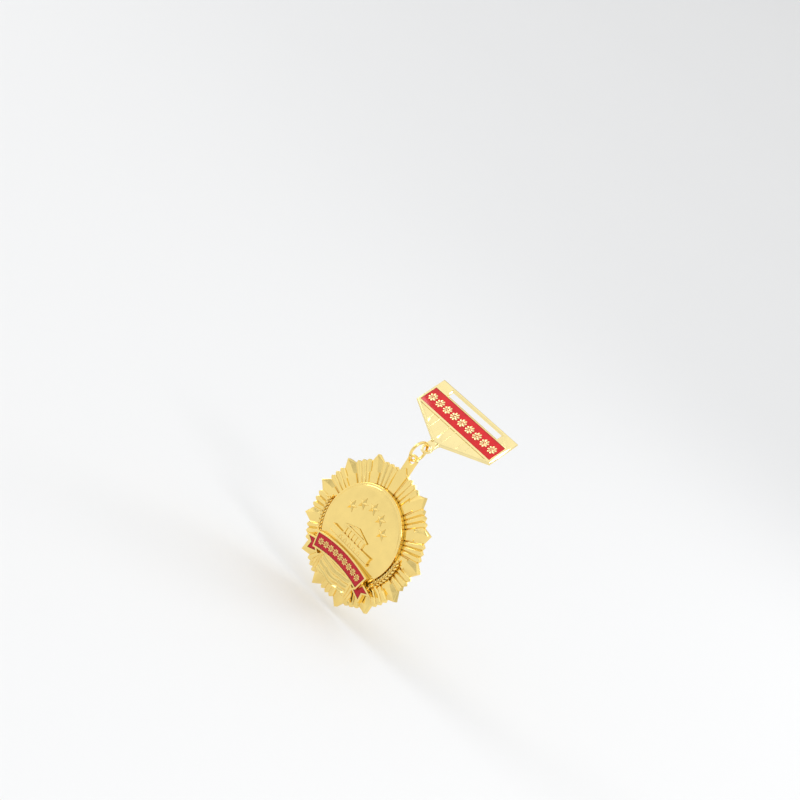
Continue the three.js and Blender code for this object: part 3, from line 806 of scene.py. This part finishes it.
# ---- banner ----
def banner_loop(grow):
    """The curved band's outline, moved outwards by `grow`."""
    steps = 28
    half = BANNER_HALF + grow / BANNER_OUTER_R
    angles = [TOP - half * (1 - 2 * i / steps) for i in range(steps + 1)]
    centre = (0, BANNER_CENTRE_Y)
    outer = [polar(BANNER_OUTER_R + grow, angle, centre) for angle in angles]
    inner = [polar(BANNER_INNER_R - grow, angle, centre) for angle in reversed(angles)]
    return outer + inner


def grown(points, distance):
    """The anticlockwise outline moved outwards by a distance."""
    made = []
    for i, point in enumerate(points):
        here, before, after = Vector(point), Vector(points[i - 1]), Vector(points[(i + 1) % len(points)])
        first, second = (here - before).normalized(), (after - here).normalized()
        normals = Vector((first.y, -first.x)), Vector((second.y, -second.x))
        middle = (normals[0] + normals[1]).normalized()
        made.append(tuple(here + middle * (distance / middle.dot(normals[0]))))
    return made


def tail_loop(grow, side):
    loop = grown(TAIL, grow)
    return loop if side > 0 else mirrored(loop)


def banner_rosettes():
    parts = []
    for i in range(ROSETTES):
        angle = TOP - (i - (ROSETTES - 1) / 2) * ROSETTE_STEP
        x, y = polar((BANNER_OUTER_R + BANNER_INNER_R) / 2, angle, (0, BANNER_CENTRE_Y))
        low, high = BANNER_FRONT - POCKET - 0.1, BANNER_FRONT - 0.02
        parts += rosette(x, y, angle - TOP, BANNER_ROSETTE_R, low, high)
    return parts


def pocketed(outline, pocket, front):
    """A part of the banner with a pocket for enamel in its front."""
    body = plate([outline], BANNER_BACK, front, BANNER_EDGE, 2)
    return combine(body, [plate([pocket], front - POCKET, front + 1, CUTTER_EDGE)], "DIFFERENCE")


def ribbon_banner():
    band = pocketed(banner_loop(BANNER_BORDER), banner_loop(0), BANNER_FRONT)
    tails = [pocketed(tail_loop(BANNER_BORDER, side), tail_loop(0, side), TAIL_FRONT) for side in (1, -1)]
    body = combine(band, tails, "UNION")
    body = combine(body, [disc_body(DISC_CLEAR)], "DIFFERENCE")
    return gather([soften(body, 0.05, 1, 35)] + banner_rosettes())


def fill(outline, front):
    """The enamel in a pocket with this outline, a little below the metal's front."""
    return plate([outline], front - POCKET - FILL_UNDER, front - FILL_SUNK, FILL_EDGE, 2)


def banner_fill():
    return fill(banner_loop(-FILL_GAP), BANNER_FRONT)


def tail_fill(side):
    band = plate([banner_loop(BANNER_BORDER + 0.01)], 0, 9, CUTTER_EDGE)
    return combine(fill(tail_loop(-FILL_GAP, side), TAIL_FRONT), [band], "DIFFERENCE")


# ---- drapery ----
def smooth(value, low, high):
    t = min(1, max(0, (value - low) / (high - low)))
    return t * t * (3 - 2 * t)


def cloth_height(x, y, along):
    """Height of the drapery, `along` of the way from its top edge (0) to its hem (1)."""
    radius = math.hypot(x, y)
    if radius < DISC_R:
        base = dome_height(x, y) + CLOTH_LIFT
    else:
        base = CLOTH_RIM_Z - CLOTH_FALL * smooth(radius, DISC_R, CLOTH_OUTER_R)
    level = CLOTH_FOLDS * (along + CLOTH_SAG * (x / SWAG_HALF) ** 2) + 0.35
    fold = level - math.floor(level)
    swag = SWAG_RISE * math.sin(math.pi * fold**1.9 * 0.88) * (1 - smooth(fold, 0.9, 1.0))
    wave = math.cos(TAU * (abs(x) - FLUTE_START) / FLUTE_STEP + 1.2 * along)
    flute = FLUTE_BASE + FLUTE_RISE * wave + 0.12 * along
    return base + swag + (flute - swag) * smooth(abs(x), 9.3, 10.1)


def drapery():
    """Cloth gathered under the banner: swags across the middle and a fluted fall at each side."""
    rows, columns = 72, 150
    bm = bmesh.new()
    front, back = [], []
    for r in range(rows + 1):
        along = r / rows
        line, under = [], []
        for c in range(columns + 1):
            across = 2 * c / columns - 1
            x = (CLOTH_HALF + CLOTH_FLARE * along) * across
            top = BANNER_CENTRE_Y + math.sqrt((BANNER_INNER_R - BANNER_BORDER - CLOTH_GAP) ** 2 - x * x)
            scallop = HEM_SCALLOP * abs(math.sin(SCALLOPS * math.pi * (across + 1) / 2))
            hem = HEM_Y - scallop - FALL_DROP * smooth(abs(x), 10, 13)
            y = top + (hem - top) * along
            z = cloth_height(x, y, along)
            if r == rows or c in (0, columns):
                z -= EDGE_TURN
            line.append(bm.verts.new((x, y, z)))
            under.append(bm.verts.new((x, y, CLOTH_BACK)))
        front.append(line)
        back.append(under)
    for r in range(rows):
        for c in range(columns):
            bm.faces.new((front[r][c], front[r + 1][c], front[r + 1][c + 1], front[r][c + 1]))
            bm.faces.new((back[r][c], back[r][c + 1], back[r + 1][c + 1], back[r + 1][c]))
    for r in range(rows):
        for c in (0, columns):
            bm.faces.new((front[r][c], back[r][c], back[r + 1][c], front[r + 1][c]))
    for c in range(columns):
        for r in (0, rows):
            bm.faces.new((front[r][c], front[r][c + 1], back[r][c + 1], back[r][c]))
    return combine(from_bmesh(bm), [disc_body(DISC_CLEAR)], "DIFFERENCE")


# ---- sprigs ----
def grain(radius, angle, tilt, length, width, rise):
    """One plump pointed leaf with a crease down its middle."""
    rings, around = 9, 12
    bm = bmesh.new()
    loops = []
    for i in range(1, rings):
        t = i / rings
        wide = width / 2 * math.sin(math.pi * t) ** 0.75 * (1.15 - 0.5 * t)
        high = rise * math.sin(math.pi * t) ** 0.6
        loop = []
        for k in range(around):
            turn = TAU * k / around
            crease = 1 - 0.28 * math.exp(-((math.cos(turn)) / 0.22) ** 2) * (math.sin(turn) > 0)
            place = (length * (t - 0.5), wide * math.cos(turn), high * math.sin(turn) * crease)
            loop.append(bm.verts.new(place))
        loops.append(loop)
    ends = [bm.verts.new((-length / 2, 0, 0)), bm.verts.new((length / 2, 0, 0.1))]
    for first, second in zip(loops, loops[1:]):
        for k in range(around):
            bm.faces.new((first[k], first[(k + 1) % around], second[(k + 1) % around], second[k]))
    for k in range(around):
        bm.faces.new((ends[0], loops[0][k], loops[0][(k + 1) % around]))
        bm.faces.new((ends[1], loops[-1][(k + 1) % around], loops[-1][k]))
    return moved(from_bmesh(bm), *polar(radius, angle), GRAIN_Z, angle + tilt)


def stalk():
    """The sprig's stem, whose end curls round."""
    points = []
    for i in range(25):
        angle = SPRIG_START + (SPRIG_END + 0.02 - SPRIG_START) * i / 24
        points.append((*polar(SPRIG_R, angle), STALK_Z))
    end, heading = Vector(points[-1]), SPRIG_END - TOP
    for i in range(1, 17):
        heading += 0.04 + 0.022 * i
        end = end + Vector((math.cos(heading), math.sin(heading), 0.01)) * 0.36
        points.append(tuple(end))
    return tube(points, lambda t: 0.3 + 0.12 * min(1, 1.6 * t) - 0.2 * max(0, t - 0.75), 10)


def right_sprig():
    """Two rows of leaves splayed from a middle row, on a curled stem."""
    parts = []
    for i in range(GRAINS):
        angle = SPRIG_START + (SPRIG_END - SPRIG_START) * (i + 0.3) / GRAINS
        size = 0.82 + 0.25 * math.sin(math.pi * (i + 1) / (GRAINS + 1))
        outer_r, inner_r = SPRIG_R + 0.72 * size, SPRIG_R - 0.75 * size
        parts.append(grain(outer_r, angle + 0.02, TOP - GRAIN_SPLAY, 2.5 * size, 1.15 * size, 0.62))
        parts.append(grain(inner_r, angle, TOP + GRAIN_SPLAY, 2.4 * size, 1.05 * size, 0.55))
        parts.append(grain(SPRIG_R, angle + 0.035, TOP, 2.2 * size, 0.9 * size, 0.8))
    parts.append(grain(SPRIG_R, SPRIG_START + 0.055, TOP, 2.6, 1.0, 0.65))
    return gather([*parts, stalk()])


# ---- jump ring ----
def jump_ring():
    """Round wire bent to a ring, its two cut ends meeting in a fine seam."""
    steps = 120
    loops = []
    for i in range(steps + 1):
        turn = SEAM_TURN + SEAM_HALF + (TAU - 2 * SEAM_HALF) * i / steps
        out = Vector((0, math.cos(turn), math.sin(turn)))
        centre = Vector((0, RING_R * math.cos(turn) + RING_CENTRE.y, RING_R * math.sin(turn) + RING_CENTRE.z))
        t = i / steps
        taper = min(1.0, 0.86 + 0.14 * min(t, 1 - t) * 60)
        loops.append(round_loop(centre, Vector((1, 0, 0)), out, WIRE_R * taper, 28))
    return skin(loops)


# ---- hanger bar ----
def hanger_loop():
    right = [(NECK_HALF - 0.55, NECK_FOOT_Y), (NECK_HALF, NECK_Y)]
    right += [(HANGER_HALF, HANGER_SHOULDER), (HANGER_HALF, HANGER_TOP)]
    return right + mirrored(right)


def field_loop():
    """The sunk field between the enamel band and the bar's sloping lower edges."""
    def half(y):
        return NECK_HALF + (y - 1.45 - NECK_Y) / SHOULDER_RISE

    high, low = BAND[1] - FIELD_BORDER, NECK_Y + 1.75
    right = [(half(low), low), (half(high), high)]
    return right + mirrored(right)


def neck_loop():
    """The flat strip from inside the bar down to the hanger's eye, which it runs round."""
    start = math.asin(NECK_WAIST / EYE_R)
    eye = arc(EYE_R, TOP + start, TAU - 2 * start, 40)
    left, right = (-NECK_WAIST - 0.05, NECK_STRIP_HALF), (NECK_WAIST + 0.05, NECK_STRIP_HALF)
    top = NECK_STRIP_TOP
    return [(NECK_STRIP_HALF, top), (-NECK_STRIP_HALF, top), left, *eye, right]


def scroll(side):
    """A small curl beside the neck."""
    points = []
    steps = 25
    for i in range(steps + 1):
        t = i / steps
        turn = 0.4 + 5.2 * t
        size = 0.85 - 0.6 * t
        x, y = SCROLL_CENTRE[0] + size * math.cos(turn), SCROLL_CENTRE[1] + size * math.sin(turn)
        points.append((side * x, y, SCROLL_Z))
    return tube(points, lambda t: 0.24 + 0.08 * t, 8)


def ridge(x, low, high, foot):
    """A sharp-topped line of metal that runs up the bar."""
    section = [(-RIDGE_HALF, 0), (RIDGE_HALF, 0), (RIDGE_TOP_HALF, RIDGE_RISE), (-RIDGE_TOP_HALF, RIDGE_RISE)]
    return skin([[(x + a, y, foot + b) for a, b in section] for y in (low, high)])


def ribs():
    """Three raised ribs on the sunk field, each with a ridge along both edges."""
    floor_z = HANGER_FRONT - FIELD_DEPTH
    high = BAND[1] - 0.9
    parts = []
    for i in (-1, 0, 1):
        ends = []
        for side in (-1, 1):
            edge = i * RIB_STEP + side * RIB_HALF
            ends.append((edge, max(NECK_Y + 1.2, NECK_Y + 0.85 + (abs(edge) - NECK_HALF) * SHOULDER_RISE)))
        loop = [ends[0], ends[1], (ends[1][0], high), (ends[0][0], high)]
        parts.append(plate([loop], 0.2, floor_z + 0.08, 0.03))
        for edge, low in ends:
            parts.append(ridge(edge, low, high, floor_z - 0.02))
    return parts


def hanger_plate():
    front = HANGER_FRONT
    slot = box_loop(*SLOT, 0, 0.3)
    body = plate([hanger_loop(), slot], -front, front, BEVEL, 0)
    cutters = [plate([box_loop(*BAND)], front - POCKET, front + 1, CUTTER_EDGE),
               plate([field_loop()], front - FIELD_DEPTH, front + 1, CUTTER_EDGE)]
    body = soften(combine(body, cutters, "DIFFERENCE"), 0.07, 2, 38)
    half_eye = EYE_THICKNESS / 2
    neck = plate([neck_loop(), circle(EYE_HOLE_R)], -half_eye, half_eye, EYE_EDGE, EYE_ROUNDING)
    parts = [body, neck, *ribs(), scroll(1), scroll(-1)]
    middle = (BAND[1] + BAND[2]) / 2
    for i in range(ROSETTES):
        x = (i - (ROSETTES - 1) / 2) * HANGER_ROSETTE_STEP
        parts += rosette(x, middle, 0, HANGER_ROSETTE_R, front - POCKET - 0.1, front - 0.03)
    return gather(parts)


def hanger_fill():
    half, low, high = BAND
    outline = box_loop(half - FILL_GAP, low + FILL_GAP, high - FILL_GAP)
    return plate([outline], HANGER_FRONT - POCKET - FILL_UNDER, HANGER_FRONT - 0.14, FILL_EDGE, 2)


# ---- brooch pin ----
def at_pin(obj, x, turn):
    """The body turned and moved to x on the pin's axis."""
    obj.data.transform(Matrix.Translation((x, PIN_Y, PIN_Z)) @ turn)
    return obj


def along_x(profile, steps):
    """A turned body about the pin's axis, from (radius, x) points."""
    return at_pin(lathe(profile, steps), 0, Matrix.Rotation(TOP, 4, "Y"))


def about_hinge(profile, steps):
    """A turned body about the hinge's axis, which runs along y."""
    return at_pin(lathe(profile, steps), HINGE_X, Matrix.Rotation(-TOP, 4, "X"))


def side_plate(loops, low, high, edge):
    """A plate whose outline is in (x, z) about the pin's axis and whose thickness runs along y."""
    return at_pin(plate(loops, low, high, edge, 2), 0, Matrix.Rotation(TOP, 4, "X"))


def end_plate(loops, low, high, edge=0.08):
    """A plate whose outline is in (y, z) about the pin's axis and whose thickness runs along x."""
    turn = Matrix(((0, 0, 1, 0), (1, 0, 0, 0), (0, 1, 0, 0), (0, 0, 0, 1)))
    return at_pin(plate(loops, low, high, edge, 2), 0, turn)


def split_ring(outer_r, inner_r, mouth_half):
    """The outline of a ring with a parallel-sided mouth towards -y."""
    outline = []
    for radius in (outer_r, inner_r):
        mouth = math.asin(mouth_half / radius)
        curve = arc(radius, -TOP + mouth, TAU - 2 * mouth, 40)
        outline += curve if radius == outer_r else curve[::-1]
    return outline


def pin_base():
    """The bar soldered on the back, with its two hinge cheeks and the catch's housing."""
    back = -HANGER_FRONT
    outline = box_loop(BAR_HALF, PIN_Y - BAR_HALF_HEIGHT, PIN_Y + BAR_HALF_HEIGHT, 0, BAR_CORNER)
    bar = plate([outline], back - BAR_THICKNESS, back + 0.02, 0.2, 3)
    holes = [plate([circle(HOLE_R, (x, PIN_Y))], back - 2, back + 1, CUTTER_EDGE) for x in HOLES_X]
    bar = combine(bar, holes, "DIFFERENCE")
    rise = back - 1.0 - PIN_Z
    cheeks = []
    for side in (-1, 1):
        curve = arc(CHEEK_R, 0, -math.pi, 16, (HINGE_X, 0))
        loop = [(HINGE_X + CHEEK_R, rise), *curve, (HINGE_X - CHEEK_R, rise)]
        low, high = sorted((-side * CHEEK_INNER, -side * CHEEK_OUTER))
        cheeks.append(side_plate([loop[::-1]], low, high, 0.12))
    ring = split_ring(HOUSING_R, HOUSING_INNER_R, MOUTH_HALF)
    housing = end_plate([ring], CATCH_X - HOUSING_HALF, CATCH_X + HOUSING_HALF)
    foot_loop = box_loop(HOUSING_HALF, PIN_Y - 1.3, PIN_Y + 1.3, CATCH_X)
    foot = plate([foot_loop], PIN_Z + 1.6, back - 0.9, 0.05)
    return gather([bar, *cheeks, housing, foot])


def pin_rivet():
    """The hinge's rivet: a waist between two heads."""
    reach = RIVET_REACH
    head = [(0, -reach - 0.45), (0.5, -reach - 0.42), (0.8, -reach - 0.25), (0.85, -reach)]
    head.append((RIVET_WAIST_R, -reach + 0.02))
    return about_hinge(head + [(r, -y) for r, y in reversed(head)], 28)


def pin_stem():
    """The pin with its knuckle round the rivet and its tapered point."""
    side = [(KNUCKLE_HOLE_R, -KNUCKLE_HALF), (1.1, -KNUCKLE_HALF), (KNUCKLE_R, -0.5)]
    knuckle = about_hinge(side + [(r, -y) for r, y in reversed(side)] + side[:1], 32)
    tip = CATCH_X + POINT_PAST_CATCH
    profile = [(0, HINGE_X + 1.0), (PIN_R, HINGE_X + 1.0), (PIN_R, tip - POINT_LENGTH)]
    for i in range(1, 9):
        t = i / 8
        profile.append((PIN_R * (1 - t**1.7) + 0.05 * t, tip - POINT_LENGTH + POINT_LENGTH * t))
    profile.append((0, tip + 0.03))
    return gather([knuckle, along_x(profile, 20)])


def catch_rotor():
    """The sleeve with its slit, turned by a tab beside the housing."""
    ring = split_ring(SLEEVE_R, SLEEVE_INNER_R, SLIT_HALF)
    sleeve = end_plate([ring], CATCH_X - SLEEVE_HALF, CATCH_X + SLEEVE_HALF, 0.06)
    curve = arc(TAB_R, -TOP, math.pi, 12, (TAB_X - 0.2, 0))
    tab = [(1.1, -0.5), (TAB_X, -TAB_R), *curve, (1.1, 0.5)]
    low = CATCH_X + HOUSING_HALF + 0.3
    return gather([sleeve, end_plate([tab], low, low + 0.5, 0.1)])


def badge_rivet(x, y):
    """A flat rivet head with a dimple, just proud of the plate's back."""
    profile = [(0, 0.3), (1.05, 0.3), (1.08, -0.02), (0.95, -0.12)]
    profile += [(0.6, -0.2), (0.22, -0.2), (0.12, -0.12), (0, -0.1)]
    return moved(lathe([(r, PLATE_BACK + z) for r, z in profile], 32), x, y)


RIVETS = {"disc_rivet_left": (-9, 0), "disc_rivet_right": (9, 0),
          "banner_rivet_left": (-17.5, -18.5), "banner_rivet_right": (17.5, -18.5)}


# ---- build the pieces ----
def finish_piece(obj, node, ending, body, slot, smooth_angle=30):
    """Puts a millimetre body into the row frame as the named piece that stands for a CAD node."""
    name = node + "_" + ending
    weld(obj)
    obj.name = name
    obj.data.name = name
    obj.data.transform(BODY_FRAMES[body])
    obj.data.materials.clear()
    obj.data.materials.append(LOOKS[slot])
    for polygon in obj.data.polygons:
        polygon.material_index = 0
    obj.data.shade_smooth()
    obj.data.set_sharp_from_angle(angle=math.radians(smooth_angle))
    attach(obj, body)
    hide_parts(node)


def build():
    finish_piece(star_plate(), "star_plate", "struck", "badge", "gold", 24)
    finish_piece(centre_disc(), "centre_disc", "struck", "badge", "gold", 24)
    finish_piece(ribbon_banner(), "ribbon_banner", "cast", "badge", "gold")
    finish_piece(banner_fill(), "banner_enamel", "fill", "badge", "deep_red_enamel", 50)
    for side, word in ((1, "right"), (-1, "left")):
        finish_piece(tail_fill(side), "banner_tail_enamel_" + word, "fill", "badge", "deep_red_enamel", 50)
    finish_piece(drapery(), "drapery_swag", "cast", "badge", "gold", 60)
    finish_piece(right_sprig(), "laurel_sprig_right", "cast", "badge", "gold", 50)
    finish_piece(mirror_x(right_sprig()), "laurel_sprig_left", "cast", "badge", "gold", 50)
    for node, (x, y) in RIVETS.items():
        finish_piece(badge_rivet(x, y), node, "head", "badge", "pin_metal")
    finish_piece(jump_ring(), "jump_ring", "wire", "ring", "gold", 40)
    finish_piece(hanger_plate(), "hanger_plate", "struck", "hanger", "pale_gold")
    finish_piece(hanger_fill(), "hanger_enamel", "fill", "hanger", "red_enamel", 50)
    finish_piece(pin_base(), "pin_base", "bar", "hanger", "pin_metal")
    finish_piece(pin_rivet(), "pin_rivet", "headed", "hanger", "pin_metal")
    finish_piece(pin_stem(), "pin_stem", "wire", "pin", "pin_metal")
    finish_piece(catch_rotor(), "catch_rotor", "sleeve", "catch", "pin_metal")


build()

# ---- camera, floor and light, in metres ----
CENTRE = BADGE @ Vector((0, 0, 0))
AIM = CENTRE + Vector((-22.2, 0, 55.4)) * MM
AZIMUTH = math.radians(35.4)
ELEVATION = math.radians(13.43)
ROLL = math.radians(33.14)
DISTANCE = 0.7609
LENS_MM = 79.13
FLOOR = cad_box[0].z - 0.004
FLOOR_SIDES = 72
FLOOR_SECTION = [(0.15, 0), (0.5, 0), (1.4, 0), (1.9, 0.03), (2.4, 0.13), (2.8, 0.3), (3.1, 0.52), (3.3, 0.8)]


def photo_camera():
    """The photograph's place relative to the badge, with its roll."""
    level = math.cos(ELEVATION)
    back = Vector((math.sin(AZIMUTH) * level, -math.cos(AZIMUTH) * level, math.sin(ELEVATION)))
    data = bpy.data.cameras.new("camera")
    data.sensor_width = 36
    data.lens = LENS_MM
    data.clip_start = 0.01
    data.clip_end = 20
    camera = bpy.data.objects.new("camera", data)
    bpy.context.scene.collection.objects.link(camera)
    camera.location = AIM + back * DISTANCE
    upright = (-back).to_track_quat("-Z", "Y")
    camera.rotation_mode = "QUATERNION"
    camera.rotation_quaternion = upright @ Matrix.Rotation(ROLL, 3, "Z").to_quaternion()
    bpy.context.scene.camera = camera


def plain(name, colour, rough):
    material = bpy.data.materials.new(name)
    node = links(material)
    inputs = {"Base Color": (*colour, 1), "Roughness": rough, "Specular IOR Level": 0.0}
    surface = node("ShaderNodeBsdfPrincipled", inputs)
    node("ShaderNodeOutputMaterial", {"Surface": surface.outputs[0]})
    return material


def floor():
    """A pale round floor whose far rim rises gently on every side."""
    bm = bmesh.new()
    rings = []
    for radius, rise in FLOOR_SECTION:
        rings.append([bm.verts.new((*spot, FLOOR + rise)) for spot in circle(radius, steps=FLOOR_SIDES)])
    bm.faces.new(rings[0])
    for first, second in zip(rings, rings[1:]):
        for i in range(FLOOR_SIDES):
            j = (i + 1) % FLOOR_SIDES
            bm.faces.new((first[i], first[j], second[j], second[i]))
    obj = from_bmesh(bm)
    obj.name = "studio_floor"
    for polygon in obj.data.polygons:
        polygon.use_smooth = True
    obj.data.materials.append(plain("studio_floor", (0.82, 0.815, 0.81), 0.6))


def softbox(name, direction, distance, width, height, power):
    """A rectangular light that faces the object's middle from a direction."""
    data = bpy.data.lights.new(name, "AREA")
    data.shape = "RECTANGLE"
    data.size, data.size_y = width, height
    data.energy = power
    obj = bpy.data.objects.new(name, data)
    bpy.context.scene.collection.objects.link(obj)
    target = (cad_box[0] + cad_box[1]) / 2
    obj.location = target + Vector(direction).normalized() * distance
    obj.rotation_mode = "QUATERNION"
    obj.rotation_quaternion = (target - obj.location).to_track_quat("-Z", "Y")


def world(horizon, overhead):
    """An even pale surround, brighter overhead than at the horizon."""
    made = bpy.data.worlds.new("studio")
    node = links(made)
    aim = node("ShaderNodeTexCoord").outputs["Generated"]
    rise = node("ShaderNodeSeparateXYZ", {0: aim}).outputs["Z"]
    strength = spread(node, rise, 0.05, 0.75, horizon, overhead)
    light = node("ShaderNodeBackground", {"Color": (0.97, 0.985, 1.0, 1), "Strength": strength})
    node("ShaderNodeOutputWorld", {"Surface": light.outputs[0]})
    bpy.context.scene.world = made
    bpy.context.scene.view_settings.view_transform = "Standard"


photo_camera()
floor()
world(horizon=0.46, overhead=1.06)
softbox("key", (-0.85, -0.35, 0.45), distance=3.0, width=1.4, height=1.4, power=19)
softbox("side", (0.75, -0.2, 0.6), distance=0.9, width=0.2, height=0.2, power=1.3)
softbox("back", (0.35, 0.8, 0.42), distance=0.9, width=0.4, height=0.25, power=0.9)
